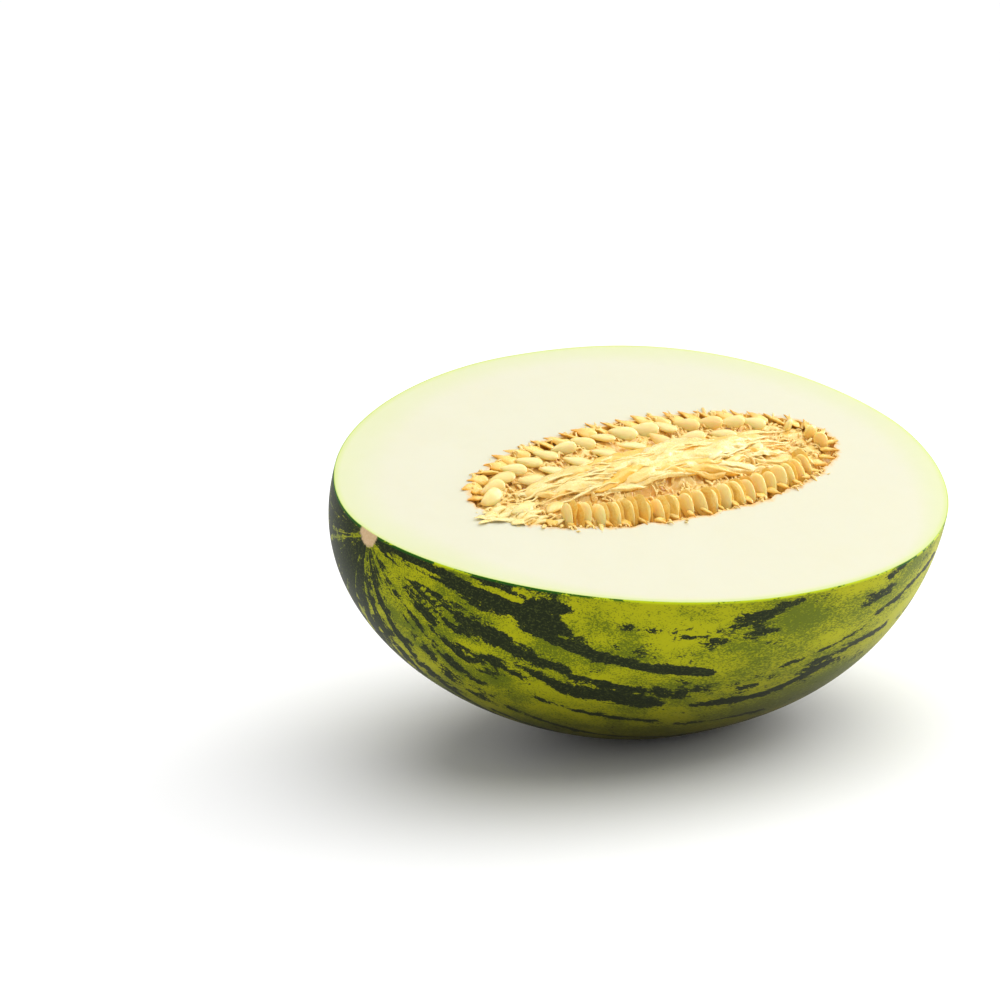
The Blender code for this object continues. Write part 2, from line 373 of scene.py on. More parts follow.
# Each mark: strength (above 0 dark, below 0 pale), half width in metres, then the places
# that it passes: along (-1 stem to 1) and around in degrees (-180 front, -90 under, 0 back).
FRONT_MARKS = (
    (1.3, 0.0050, (-0.96, 176), (-0.86, -176), (-0.78, -171), (-0.70, -168)),
    (1.2, 0.0030, (-0.80, -176), (-0.74, -175), (-0.69, -175)),
    (0.9, 0.0012, (-0.70, -178), (-0.66, -176)),
    (0.9, 0.0011, (-0.70, -172), (-0.65, -170)),
    (1.2, 0.0019, (-0.90, -156), (-0.80, -154), (-0.72, -151), (-0.62, -152)),
    (1.3, 0.0024, (-0.72, -163), (-0.59, -161), (-0.41, -160), (-0.25, -160)),
    (1.2, 0.0042, (-0.74, -143), (-0.60, -144), (-0.48, -146), (-0.38, -147)),
    (1.0, 0.0020, (-0.57, -150), (-0.46, -151), (-0.38, -151)),
    (0.9, 0.0032, (-0.36, -151), (-0.30, -151)),
    (0.30, 0.0090, (-0.55, -168), (-0.30, -170), (-0.10, -171)),
    (0.26, 0.0060, (-0.30, -154), (0.00, -156), (0.25, -160)),
    (1.0, 0.0022, (-0.22, -148), (-0.10, -149), (0.00, -150), (0.11, -154), (0.18, -157)),
    (0.9, 0.0017, (0.14, -159), (0.29, -161), (0.41, -162)),
    (0.7, 0.0013, (-0.47, -172), (-0.39, -172)),
    (0.85, 0.0011, (-0.35, -171), (-0.30, -171)),
    (0.8, 0.0013, (-0.28, -170), (-0.24, -170)),
    (0.8, 0.0030, (-0.20, -176), (-0.10, -177)),
    (0.7, 0.0014, (-0.10, -179), (-0.02, -179)),
    (0.8, 0.0013, (-0.23, -174), (-0.20, -174)),
    (0.85, 0.0016, (-0.13, -172), (-0.08, -172)),
    (0.85, 0.0028, (0.24, -174), (0.33, -175)),
    (0.7, 0.0016, (0.33, -179), (0.44, 178)),
    (0.8, 0.0011, (0.00, -160), (0.28, -166)),
    (0.75, 0.0010, (0.06, -169), (0.13, -169)),
    (0.8, 0.0014, (0.33, -169), (0.42, -171)),
    (0.9, 0.0013, (-0.62, -134), (-0.40, -137), (-0.28, -139)),
    (0.8, 0.0010, (-0.20, -138), (0.08, -141)),
    (0.95, 0.0014, (-0.62, -121), (-0.30, -124), (0.02, -130)),
    (0.9, 0.0014, (-0.60, -112), (-0.30, -114), (0.10, -120)),
    (0.75, 0.0018, (0.46, -172), (0.62, -174)),
    (0.7, 0.0013, (0.50, -160), (0.72, -163)),
    (-1.5, 0.0014, (-0.96, 170), (-0.90, 178), (-0.84, -177), (-0.80, -176), (-0.77, -175)),
    (-1.0, 0.0017, (-0.97, -150), (-0.93, -164), (-0.87, -163), (-0.80, -161), (-0.62, -158)),
    (-1.0, 0.0007, (-0.92, -156), (-0.86, -149)),
    (-1.0, 0.0006, (-0.91, -146), (-0.86, -142)),
    (-0.9, 0.0016, (-0.95, -137), (-0.88, -131), (-0.77, -129), (-0.64, -134)),
    (-0.9, 0.0020, (-0.86, -140), (-0.76, -145), (-0.61, -141)),
    (-1.1, 0.0014, (-0.95, -118), (-0.88, -114), (-0.80, -111), (-0.62, -115)),
    (-0.8, 0.0009, (-0.93, -126), (-0.80, -121), (-0.70, -124)),
    (-0.8, 0.0010, (-0.93, -103), (-0.80, -101), (-0.66, -104)),
    (-0.7, 0.0050, (-0.02, -172), (0.13, -169)),
    (-0.6, 0.0030, (-0.62, -171), (-0.50, -168)),
)
print(len(FRONT_MARKS), "marks on the front")

# %% [markdown]
# The back and the underside need bands too.  They are drawn by rule: each band starts at the
# stem, breaks off, starts again a little further on, and has small flecks beside it.  The
# chooser starts from a fixed seed, so the same melon grows on every run.

# %% Bands for the hidden side
HIDDEN_FROM, HIDDEN_TO = -106.0, 40
LAST_START, LAST_END = 0.72, 0.88
FLECKS = 4


def hidden_marks():
    """Bands for the back and the underside, drawn with the same habits as the front's."""
    chooser = np.random.default_rng(7)
    marks = []
    around = HIDDEN_FROM
    while around < HIDDEN_TO:
        start, width = -0.97, chooser.uniform(0.0016, 0.0034)
        while start < LAST_START:
            end = min(LAST_END, start + chooser.uniform(0.10, 0.62))
            drift = chooser.uniform(-3, 3)
            halfway = ((start + end) / 2, around + drift / 2 + chooser.uniform(-2.5, 2.5))
            strength = chooser.uniform(0.75, 1.2)
            marks.append((strength, width, (start, around), halfway, (end, around + drift)))
            for _ in range(FLECKS):
                spot = chooser.uniform(start, end)
                aside = around + chooser.uniform(2.5, 6) * chooser.choice([-1, 1])
                spot_end = spot + chooser.uniform(0.02, 0.14)
                marks.append((chooser.uniform(0.6, 0.9), width * 0.6, (spot, aside), (spot_end, aside)))
            start = end + chooser.uniform(0.04, 0.26)
            width = max(0.0010, width * chooser.uniform(0.6, 1.05))
        around += chooser.uniform(8, 14)
    return marks


ALL_MARKS = (*FRONT_MARKS, *hidden_marks())
print(len(ALL_MARKS) - len(FRONT_MARKS), "marks on the hidden side")

# %% [markdown]
# Now every point of the skin can be asked how dark it is.  Each mark is strongest on its own
# line and fades over its half width.  The skin is dark all over at the stem, so pale streaks
# are marks too, with a strength below zero.

# %% How dark a place on the skin is
STEM_DARK = 0.62
STEM_DARK_END, STEM_DARK_FADE, STEM_DARK_DROP = -0.80, 0.26, 0.72


def skin_place(points):
    """Along and around for points on the skin, about the line from stem to blossom."""
    turn = np.array(Matrix.Rotation(-SKIN_TURN, 3, "Z"))
    turned = points @ turn.T
    along = turned[:, 0] / (LENGTH / 2)
    around = np.degrees(np.arctan2(turned[:, 2] - SKIN_POLE_HEIGHT, turned[:, 1]))
    return along, around


def band_strength(points):
    """How dark each point is by the listed bands, with pale streaks below zero."""
    along, around = skin_place(points)
    girth = np.hypot(points[:, 1], points[:, 2]) + 0.002
    dark = STEM_DARK - STEM_DARK_DROP * np.clip((along - STEM_DARK_END) / STEM_DARK_FADE, 0, 1)
    pale = np.zeros(len(points))
    for strength, half_width, *places in ALL_MARKS:
        for (start, first), (end, last) in zip(places, places[1:]):
            share = np.clip((along - start) / (end - start), 0, 1)
            bend = (last - first + 180) % 360 - 180
            off = np.radians((around - first - bend * share + 180) % 360 - 180) * girth
            past = (along - start - (end - start) * share) * LENGTH / 2
            reach = np.hypot(off, past * 0.6) / half_width
            level = abs(strength) * np.exp(-reach ** 3)
            if strength > 0:
                dark = np.maximum(dark, level)
            else:
                pale = np.maximum(pale, level)
    return dark - pale


at_stem, below = band_strength(np.array([[-LENGTH / 2, 0, 0], [0, 0, -WIDTH / 2]]))
print("strength at the stem", round(float(at_stem), 2), "and underneath", round(float(below), 2))

# %% [markdown]
# The rind's material reads the stored band strength and roughens its edge with noises: one
# breaks the outline into fingers that run along the melon, another into grains.  The pale
# skin between the bands has a green speckle as fine as dust.  Round the stem, streaks like
# threads run outwards from the corky scar.  At the cut the rind shows its own green edge, painted
# brighter as a painted glow of light through the thin rind, and the underside is painted darker
# towards the table as painted shade.

# %% Rind material


def rind_material():
    shader = Shader("rind")
    x, y, z = shader.grown()
    turned_x = x * math.cos(SKIN_TURN) + y * math.sin(SKIN_TURN)
    turned_y = y * math.cos(SKIN_TURN) - x * math.sin(SKIN_TURN)
    raised_z = z - SKIN_POLE_HEIGHT
    spread = (turned_y * turned_y + raised_z * raised_z + 1e-9).math("SQRT")
    around = shader.join(turned_y / spread, raised_z / spread, turned_x * 9.0)
    skin = shader.join(turned_x * 0.38, turned_y, raised_z)
    bands = shader.stored("bands")
    scar = shader.stored("scar")
    # the rind's own green at the cut, painted brighter as a glow of light through the thin rind
    cut_rim_green_and_glow = 1 - shader.stored("to_cut").fade(0.0001, 0.0012)

    fingers = shader.noise(skin, 360.0, 3.0, 0.62)
    grains = shader.noise(skin, 1500.0, 2.0, 0.7)
    threads = shader.noise(around, 10.0, 3.0, 0.7)
    patches = shader.noise(skin, 60.0, 3.0, 0.6)
    breaks = shader.noise(skin, 150.0, 2.0, 0.5)
    dust = shader.noise(skin, 2300.0, 2.0, 0.65)
    near_stem = 1 - scar.fade(0.030, 0.085)

    field = bands + (fingers - 0.5) * 1.7 + (grains - 0.5) * 1.3 + (patches - 0.5) * 0.5
    field = field + (breaks - 0.5) * 1.5
    field = field + (threads - 0.5) * near_stem * 3.4
    dark = field.fade(0.36, 0.58)
    speckle = (dust * 1.5 + (grains - 0.5) * 0.6 + (patches - 0.5) * 1.5 - 0.24).fade(0.42, 0.62)

    pale = shader.mix(patches.fade(0.35, 0.68), tint(174, 174, 4), tint(142, 150, 4))
    pale = shader.mix(speckle * 0.75, pale, tint(74, 90, 8))
    deep = shader.mix(grains.fade(0.48, 0.70), tint(30, 38, 14), tint(66, 74, 30))
    color = shader.mix(dark, pale, deep)
    edge_dark = (field + breaks * 0.7).fade(0.36, 0.58)
    # painted light: the band next to the cut gets a brighter green, standing in for light shining
    # through the thin rind
    color = shader.mix(cut_rim_green_and_glow, color, shader.mix(edge_dark, tint(196, 212, 16), tint(28, 92, 12)))

    # painted shade: the rind is painted darker towards the table, where the floor under it gives little
    # light
    painted_underside_shade = (1 - shader.stored("height").fade(0.003, 0.056)) * 0.9
    color = shader.mix(painted_underside_shade, color, shader.mix(dark, tint(56, 50, 0), tint(12, 14, 3)))
    bark = shader.mix(grains, tint(226, 200, 160), tint(196, 158, 112))
    ragged = scar + (fingers - 0.5) * 0.004
    color = shader.mix(1 - ragged.fade(0.0030, 0.0042), color, bark)

    roughness = 0.46 + (grains - 0.5) * 0.16 + dark * 0.04
    height = grains * 0.35 + fingers * 0.4 - dark * 0.1
    return shader.finish(
        Base_Color=color, Roughness=roughness, Normal=shader.bump(height, 0.0003, 0.45),
        IOR=1.38, Specular_IOR_Level=0.16, Coat_Weight=0.0,
    )


rind = rind_material()
print("rind material with", len(rind.node_tree.nodes), "nodes")

# %% [markdown]
# ## The flesh
#
# Just under the rind the flesh is bright green for less than a millimetre, then pale green
# for a centimetre, and then cream to the seed cavity.  The distance to the rind is stored on
# the points.  Flesh lets light in, so it gets subsurface light and a wet coat, and its only
# relief is the fine grain that a knife leaves.

# %% Flesh material


def flesh_material():
    shader = Shader("flesh")
    x, y, z = shader.grown()
    under = shader.stored("under_skin")
    to_seeds = shader.stored("to_seeds")
    point = shader.join(x, y, z)
    clouds = shader.noise(point, 38.0, 3.0, 0.55)
    grain = shader.noise(point, 900.0, 3.0, 0.6)
    strokes = shader.noise(shader.join(x * 0.35, y * 1.6, z), 240.0, 2.0, 0.5)

    cream = shader.mix(clouds, tint(219, 217, 194), tint(216, 213, 185))
    pale_green = shader.mix(clouds, tint(215, 217, 179), tint(210, 215, 165))
    ends = (x * x * 90.0 + (y * 9.0).math("MAXIMUM", 0.0)).fade(0.15, 1.1)
    reach = under / (0.004 + ends * 0.017)
    color = shader.mix(reach.fade(0.0, 1.0), pale_green, cream)
    color = shader.mix((1 - under.fade(0.0004, 0.0026)) * 0.6, color, tint(200, 214, 120))
    color = shader.mix(1 - under.fade(0.0001, 0.0006), color, tint(160, 190, 40))
    stain = (to_seeds + (grain - 0.5) * 0.003 + (strokes - 0.5) * 0.003).fade(-0.0006, 0.0020)
    color = shader.mix(stain, tint(236, 184, 96), color)
    wet = (clouds + (strokes - 0.5) * 0.3).fade(0.4, 0.65)
    height = grain * 0.35 + strokes * 0.65
    return shader.finish(
        Base_Color=color, Roughness=0.26 + wet * 0.16 + grain * 0.08,
        Normal=shader.bump(height, 0.0003, 0.3),
        IOR=1.36, Subsurface_Weight=0.25, Subsurface_Radius=(0.9, 0.75, 0.45),
        Subsurface_Scale=0.005, Coat_Weight=0.2, Coat_Roughness=0.16, Coat_IOR=1.33,
    )


flesh = flesh_material()
print("flesh material with", len(flesh.node_tree.nodes), "nodes")

# %% [markdown]
# ## The half itself
#
# Rind and flesh are one grown body, so the half is one closed mesh with two materials.  It
# could be cut from a turned shape by Booleans, as the frame was, but rings give a clean edge
# where the knife passed: they climb the outside to the rim, cross the cut face to the cavity
# and go down into it.  The rim of the cavity is ragged, with a small notch for each seed.

# %% Rings of the half
COLUMNS = 600
OUTER_RINGS = 108
FACE_RINGS = 26
CAVITY_RINGS = 14
NOTCHES = 50
NOTCH_DEPTH = 0.0010
EDGE_ROUND = 0.00012

columns = np.linspace(0, 2 * math.pi, COLUMNS + 1)[:-1]


def cavity_ring(share, depth):
    """A ring of the cavity's wall, in the melon's axes, at a share of its rim's size."""
    angle = columns - 0.06 * np.sin(2 * columns)
    phase = angle * NOTCHES
    saw = (phase / (2 * math.pi) + 0.17 * np.sin(angle * 5)) % 1.0
    notch = NOTCH_DEPTH * (np.abs(2 * saw - 1) ** 1.4 - 0.4)
    ragged = notch + 0.0005 * np.sin(angle * 23 + 1.3 * np.sin(angle * 7))
    size = 1 + ragged / (CAVITY_WIDTH / 2)
    flat = np.column_stack([
        CAVITY_LENGTH / 2 * share * np.cos(angle) * (1 + ragged / (CAVITY_LENGTH / 2)),
        CAVITY_WIDTH / 2 * share * np.sin(angle) * size,
        np.full(COLUMNS, -depth),
    ])
    turn = np.array(Matrix.Rotation(CAVITY_TURN, 3, "Z"))
    return flat @ turn.T + np.array(CAVITY_MIDDLE) + np.array([0, 0, CUT_HEIGHT])


def half_rings():
    """Rings from the bottom up the rind, over the face and down the cavity."""
    outer = [skin_points(bowl_directions(columns, math.pi / 2 * (1 - k / OUTER_RINGS)))
             for k in range(1, OUTER_RINGS + 1)]
    rim = outer[-1].copy()
    inward = -rim[:, :2] / np.linalg.norm(rim[:, :2], axis=1)[:, None]
    outer[-1][:, 2] -= EDGE_ROUND
    lip = rim.copy()
    lip[:, :2] += inward * EDGE_ROUND
    mouth = cavity_ring(1.0, 0.0)
    shares = np.linspace(0, 1, FACE_RINGS + 1)
    shares = shares + 0.5 * shares * (1 - shares) * (2 * shares - 1)
    face = [lip + (mouth - lip) * share for share in shares]
    wall = []
    for k in range(1, CAVITY_RINGS + 1):
        drop = math.pi / 2 * k / (CAVITY_RINGS + 1)
        wall.append(cavity_ring(math.cos(drop), CAVITY_DEPTH * math.sin(drop)))
    return outer, face, wall, rim


outer, face, wall, rim = half_rings()
half_mesh = ring_mesh("melon_half_grown", outer + face + wall)
print("half:", len(half_mesh.vertices), "points in", len(outer) + len(face) + len(wall), "rings")

# %% [markdown]
# Before the half is seated, its points are given what the two materials need: the place in
# the melon's own axes, the band strength, the height over the table, and the distances to
# the stem scar, the cut face, the rind and the seed cavity.

# %% Numbers for the rind and the flesh
FAR_OFF = 0.05
half_points = np.array([vertex.co for vertex in half_mesh.vertices])
store_places(half_mesh, "grown", half_points)
store(half_mesh, "bands", band_strength(half_points))
store(half_mesh, "height", half_points @ np.array(melon_matrix.to_3x3())[2] + melon_matrix.translation.z)
scar_middle = skin_points(np.array([[
    -math.cos(SKIN_TURN), -math.sin(SKIN_TURN), (SKIN_POLE_HEIGHT - CUT_HEIGHT) / (LENGTH / 2),
]]))[0]
store(half_mesh, "scar", np.linalg.norm(half_points - scar_middle, axis=1))
store(half_mesh, "to_cut", CUT_HEIGHT - half_points[:, 2])


def nearest_gap(rows, outline):
    """Distance from points, a ring at a time, to the near part of an outline."""
    shifted = [np.roll(outline, shift, axis=0) for shift in range(-60, 61, 2)]
    return np.min([np.linalg.norm(rows - line, axis=1) for line in shifted], axis=0)


under_skin = np.full(len(half_points), FAR_OFF)
to_seeds = np.full(len(half_points), FAR_OFF)
for ring in range(FACE_RINGS + 1):
    rows = slice((OUTER_RINGS + ring) * COLUMNS, (OUTER_RINGS + ring + 1) * COLUMNS)
    under_skin[rows] = nearest_gap(half_points[rows, :2], rim[:, :2])
    to_seeds[rows] = nearest_gap(half_points[rows, :2], face[-1][:, :2])
mouth_start = (OUTER_RINGS + FACE_RINGS) * COLUMNS
to_seeds[mouth_start:] = -0.01
to_seeds[mouth_start:mouth_start + COLUMNS] = 0
to_seeds[-2] = FAR_OFF  # the lowest point of the rind, added as the first ring's tip
store(half_mesh, "under_skin", under_skin)
store(half_mesh, "to_seeds", to_seeds)
print("widest stretch of flesh:", round(float(under_skin[under_skin < FAR_OFF].max()), 4))

# %% [markdown]
# The outside and the bottom point take the rind, and the face and the cavity take the flesh.
# Then the half is leaned over and its underside is pressed flat where it meets the table, as
# a heavy half of fruit is.

# %% Paint by face, press flat
half_mesh.materials.append(rind)
half_mesh.materials.append(flesh)
is_flesh = np.zeros(len(half_mesh.polygons), int)
quads_outside = OUTER_RINGS * COLUMNS
quads_all = (len(outer) + len(face) + len(wall) - 1) * COLUMNS
is_flesh[quads_outside:quads_all] = 1
is_flesh[quads_all + COLUMNS:] = 1
half_mesh.polygons.foreach_set("material_index", is_flesh)

seated = half_points @ np.array(melon_matrix.to_3x3()).T + np.array(melon_matrix.translation)
seated[:, 2] = np.maximum(seated[:, 2], 0.0)
half_mesh.vertices.foreach_set("co", seated.ravel())
half_mesh.update()
half_mesh.set_sharp_from_angle(angle=math.radians(35))
half = add_piece("melon_half_grown", half_mesh, rind)
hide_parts("melon_half")
print("pressed flat:", int((seated[:, 2] <= 0).sum()), "points")

# %% [markdown]
# ## Seeds
#
# A melon seed is a flat drop, blunt at one end and pointed where it was tied to the pulp.
# The coat is cream and smooth, with a faint grain along it and a thin margin round the edge.
# Each one is modelled with the same drop as its CAD seed but finer, and is seated by
# measuring the CAD seed's own three main directions.

# %% Seed and pulp materials


def seed_material():
    shader = Shader("seed")
    x, y, z = shader.place()
    shade = shader.stored("shade")
    tip = shader.stored("tip")
    grain = shader.noise(shader.join(x * 0.2, y, z), 2600.0, 2.0, 0.6)
    cloud = shader.noise(shader.join(x, y, z), 260.0, 2.0, 0.5)
    color = shader.mix(shade, tint(255, 234, 162), tint(252, 216, 130))
    color = shader.mix(grain.fade(0.3, 0.75) * 0.3, color, tint(240, 196, 116))
    color = shader.mix(cloud.fade(0.5, 0.75) * 0.3, color, tint(238, 192, 108))
    color = shader.mix(tip.fade(0.55, 1.0) * 0.5, color, tint(226, 160, 72))
    height = grain * 0.5 + cloud * 0.5
    return shader.finish(
        Base_Color=color, Roughness=0.28 + cloud * 0.12, Normal=shader.bump(height, 0.0002, 0.35),
        IOR=1.42, Subsurface_Weight=0.8, Subsurface_Radius=(1.0, 0.7, 0.35),
        Subsurface_Scale=0.0025, Coat_Weight=0.5, Coat_Roughness=0.12,
    )


def pulp_material(name, light, middle, deep):
    """Wet fruit tissue: fine fibres over soft lumps, deeper in tint by a stored share: painted shade in
    creases, its own tone elsewhere.
    """
    shader = Shader(name)
    x, y, z = shader.place()
    point = shader.join(x, y, z)
    fibres = shader.noise(point, 1300.0, 3.0, 0.65)
    lumps = shader.noise(point, 230.0, 3.0, 0.6)
    deep_tone_and_shade = shader.stored("deep_tone_and_shade")
    color = shader.mix((fibres * 0.7 + lumps * 0.7 - 0.2).fade(0.3, 0.75), middle, light)
    # painted shade: the deep tint goes into the bed's creases and low places; on flakes, strands and
    # fibres the same share is their own tone
    color = shader.mix((deep_tone_and_shade + (lumps - 0.5) * 0.8 + (fibres - 0.5) * 0.5).fade(0.3, 0.9), color, deep)
    height = fibres * 0.6 + lumps * 0.8
    return shader.finish(
        Base_Color=color, Roughness=0.20 + fibres * 0.16,
        Normal=shader.bump(height, 0.0005, 0.6), IOR=1.36, Subsurface_Weight=0.1,
        Subsurface_Radius=(1.0, 0.8, 0.5), Subsurface_Scale=0.0004, Coat_Weight=0.6,
        Coat_Roughness=0.08,
    )


seed_coat = seed_material()
pulp_golden = pulp_material("pulp", tint(255, 230, 150), tint(252, 208, 108), tint(246, 196, 100))
pulp_pale = pulp_material("core", tint(255, 238, 172), tint(254, 220, 124), tint(255, 196, 58))
membrane_golden = pulp_material("membrane", tint(255, 224, 128), tint(254, 206, 90), tint(244, 176, 50))
print("seed and pulp materials ready")

# %% [markdown]
# The drop is made of rings along its length.  A small ridge runs round its edge, where the
# two halves of the coat meet, and it is bent a little so that no two seeds look alike.

# %% Seed mesh
SEED_LENGTH, SEED_WIDTH, SEED_THICKNESS = 0.0110, 0.0052, 0.0024
SEED_TAPER = 0.42
SEED_RINGS, SEED_SIDES = 22, 24
chooser = np.random.default_rng(11)


def drop_rings(length, width, thickness, taper, bend=0.0, margin=0.0, rings=SEED_RINGS):
    """Rings of a flat drop that points along +X, from its blunt end to its point."""
    side = np.linspace(0, 2 * math.pi, SEED_SIDES + 1)[:-1]
    result = []
    for k in range(1, rings):
        along = -math.cos(math.pi * k / rings)
        girth = math.sqrt(1 - along * along)
        narrowing = 1 - taper * along
        ridge = 1 + margin * np.exp(-(np.sin(side) / 0.28) ** 2)
        across = width / 2 * narrowing * girth * np.cos(side) * ridge
        up = thickness / 4 * (1 + narrowing) * girth * np.sin(side)
        lift = bend * length * (along * along - 0.5)
        result.append(np.column_stack([np.full(SEED_SIDES, length / 2 * along), across, up + lift]))
    return result


def seed_mesh(name):
    size = chooser.uniform(0.84, 1.04)
    rings = drop_rings(
        SEED_LENGTH * size, SEED_WIDTH * size, SEED_THICKNESS * chooser.uniform(0.9, 1.1),
        SEED_TAPER, chooser.uniform(-0.02, 0.02), 0.05,
    )
    mesh = ring_mesh(name, rings[::-1])
    points = np.array([vertex.co for vertex in mesh.vertices])
    store(mesh, "shade", np.full(len(points), chooser.uniform(0, 1)))
    store(mesh, "tip", points[:, 0] / (SEED_LENGTH / 2))
    return mesh


print("a seed is", SEED_LENGTH * 1000, "mm long")

# %% [markdown]
# A CAD seed is already in its place, but only as a mesh.  Its own points say how it lies: the
# direction in which they spread most is its length, the least is its thickness, and its
# point is at the end where it is narrower.  Each fine seed takes that seat with a small sway,
# because no seed in a melon lies quite like the next.

# %% Seats of the seeds
LAID_BACK = 0.28
TILT_SWAY = 0.42
TURN_SWAY, LAID_TURN_SWAY = 0.20, 0.45


def seat_of(node):
    """The matrix of a CAD seed, from the three main directions of its own points."""
    points = np.array([vertex.co for vertex in nodes[node].data.vertices])
    offsets = points - points.mean(axis=0)
    _, directions = np.linalg.eigh(offsets.T @ offsets)
    point, across, face = (Vector(directions[:, k]) for k in (2, 1, 0))
    ahead = offsets @ np.array(point)
    aside = np.abs(offsets @ np.array(across))
    if aside[ahead > 0].mean() > aside[ahead < 0].mean():
        point = -point
        ahead = -ahead
    face = face if face.z > 0 else -face
    across = face.cross(point)
    middle = points.mean(axis=0) + np.array(point) * (ahead.min() + ahead.max()) / 2
    return Matrix.Translation(Vector(middle)) @ Matrix((point, across, face)).transposed().to_4x4()


seed_names = sorted(name for name in nodes if name.startswith("seed_") and name != "seed_pulp")
seed_seats = {name: seat_of(name) for name in seed_names}
for name, seat in seed_seats.items():
    laid = name.startswith(("seed_back", "seed_inner"))
    flatter = LAID_BACK if laid else 0.0
    turn = LAID_TURN_SWAY if laid else TURN_SWAY
    sway = Matrix.Rotation(flatter + chooser.uniform(-TILT_SWAY, TILT_SWAY), 4, "X")
    sway = sway @ Matrix.Rotation(chooser.uniform(-turn, turn), 4, "Z")
    sway = Matrix.Translation((0, 0, chooser.uniform(-0.0004, 0.0003))) @ sway
    seed = add_piece(name.replace("seed_", "ripe_seed_"), seed_mesh(name), seed_coat, seat @ sway)
    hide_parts(name)
print(len(seed_seats), "seeds seated")

# %% [markdown]
# ## The bed of pulp
#
# Under and between the seeds the pulp is soft, wet and lumpy.  The bed is a grid of rings
# that grow from the middle of the cavity to its rim.  Their height follows the CAD pulp: a
# low shoulder with a raised core.  Noise in two sizes turns that into lumps and creases.

# %% Bed
CORE_LENGTH, CORE_WIDTH = 0.138, 0.030
CORE_ABOVE, CORE_ROOT = 0.0038, 0.0060
PULP_BELOW_CUT = 0.0010
BED_RINGS, BED_COLUMNS = 72, 420
BED_GAP = 0.0004
WALL_STEPS = 9
TRENCH_DEPTH = 0.0026
TRENCH_WIDTH = 0.0085


def pulp_height(x, y):
    """Height of the CAD pulp over the cut face, in the cavity's own axes."""
    spent = (2 * x / CORE_LENGTH) ** 2 + (2 * y / CORE_WIDTH) ** 2
    core = (CORE_ABOVE + CORE_ROOT) * np.sqrt(np.maximum(0, 1 - spent)) - CORE_ROOT
    return np.maximum(core, -PULP_BELOW_CUT)


def rim_gap(x, y):
    """Roughly how far a place in the cavity is from the rim."""
    share = np.hypot(2 * x / CAVITY_LENGTH, 2 * y / CAVITY_WIDTH) + 1e-6
    return (1 / share - 1) * np.hypot(x, y)


def bed_height(x, y):
    """The pulp's height with a trench for the seeds along the near rim."""
    near = np.clip(-y / 0.010, 0, 1)
    trench = np.clip((TRENCH_WIDTH - rim_gap(x, y)) / 0.004, 0, 1)
    return pulp_height(x, y) - TRENCH_DEPTH * trench * (0.35 + 0.65 * near)


def bed_mesh():
    """A lumpy floor that fills the cavity, with a plain wall and bottom under it."""
    angle = np.linspace(0, 2 * math.pi, BED_COLUMNS + 1)[:-1]
    rings, painted_shade_rings = [], []
    for k in range(1, BED_RINGS + 1):
        share = k / BED_RINGS
        x = (CAVITY_LENGTH / 2 - BED_GAP) * share * np.cos(angle)
        y = (CAVITY_WIDTH / 2 - BED_GAP) * share * np.sin(angle)
        z = bed_height(x, y)
        flat = np.column_stack([x, y, z])
        streaky = flat * np.array([0.35, 1.0, 1.0])
        lumps = 0.0011 * wave(flat, 130, 3.0) + 0.0008 * wave(flat, 520, 9.0)
        creases = np.abs(wave(streaky, 260, 5.0))
        rings.append(np.column_stack([x, y, z + lumps - 0.0014 * creases]))
        # painted shade: low places and creases are stored as deeper, for a darker pulp colour there
        painted_shade_rings.append(0.30 - 500 * lumps + creases * 0.5)
    for k in range(1, WALL_STEPS):
        drop = math.pi / 2 * k / WALL_STEPS
        x = (CAVITY_LENGTH / 2 - BED_GAP) * math.cos(drop) * np.cos(angle)
        y = (CAVITY_WIDTH / 2 - BED_GAP) * math.cos(drop) * np.sin(angle)
        depth = np.full(BED_COLUMNS, -0.0046 - (CAVITY_DEPTH - 0.0052) * math.sin(drop))
        rings.append(np.column_stack([x, y, depth]))
        # painted shade: the hidden wall under the bed is stored fully deep
        painted_shade_rings.append(np.ones(BED_COLUMNS))
    mesh = ring_mesh("pulp_bed", rings[::-1])
    values = np.concatenate(painted_shade_rings[::-1])
    store(mesh, "deep_tone_and_shade", np.append(values, [1.0, 0.0])[:len(mesh.vertices)])
    return mesh


bed = add_piece("pulp_bed", bed_mesh(), pulp_golden, cavity_matrix)
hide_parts("seed_pulp")
print("bed with", len(bed.data.vertices), "points")

# %% [markdown]
# ## Membranes
#
# Each seed grew in its own small pocket of orange skin.  Where the knife passed, the ends of
# those pockets are left standing round the cavity as a row of pointed flakes.  Each flake is
# a thin drop that points outwards over the rim, longer and bent sideways on the far side.

# %% Flakes round the rim
MEMBRANES = 54
FIRST_MEMBRANE = 0.4
STRANDS_FROM, STRANDS_TO = 3.0, 3.7


def rim_place(angle, gap):
    """A place near the cavity's rim and the way out from it, in the cavity's own axes."""
    rim_point = Vector((CAVITY_LENGTH / 2 * math.cos(angle), CAVITY_WIDTH / 2 * math.sin(angle), 0))
    out = Vector((CAVITY_WIDTH * math.cos(angle), CAVITY_LENGTH * math.sin(angle), 0)).normalized()
    return rim_point - out * gap, out


def even_angles(count, start, end):
    """Angles that are evenly spaced along the rim, not round it."""
    fine = np.linspace(start, end, 2000)
    steps = np.hypot(CAVITY_LENGTH * np.sin(fine), CAVITY_WIDTH * np.cos(fine))
    walked = np.concatenate([[0], np.cumsum(steps[1:])])
    return np.interp(np.linspace(0, walked[-1], count, endpoint=False), walked, fine)


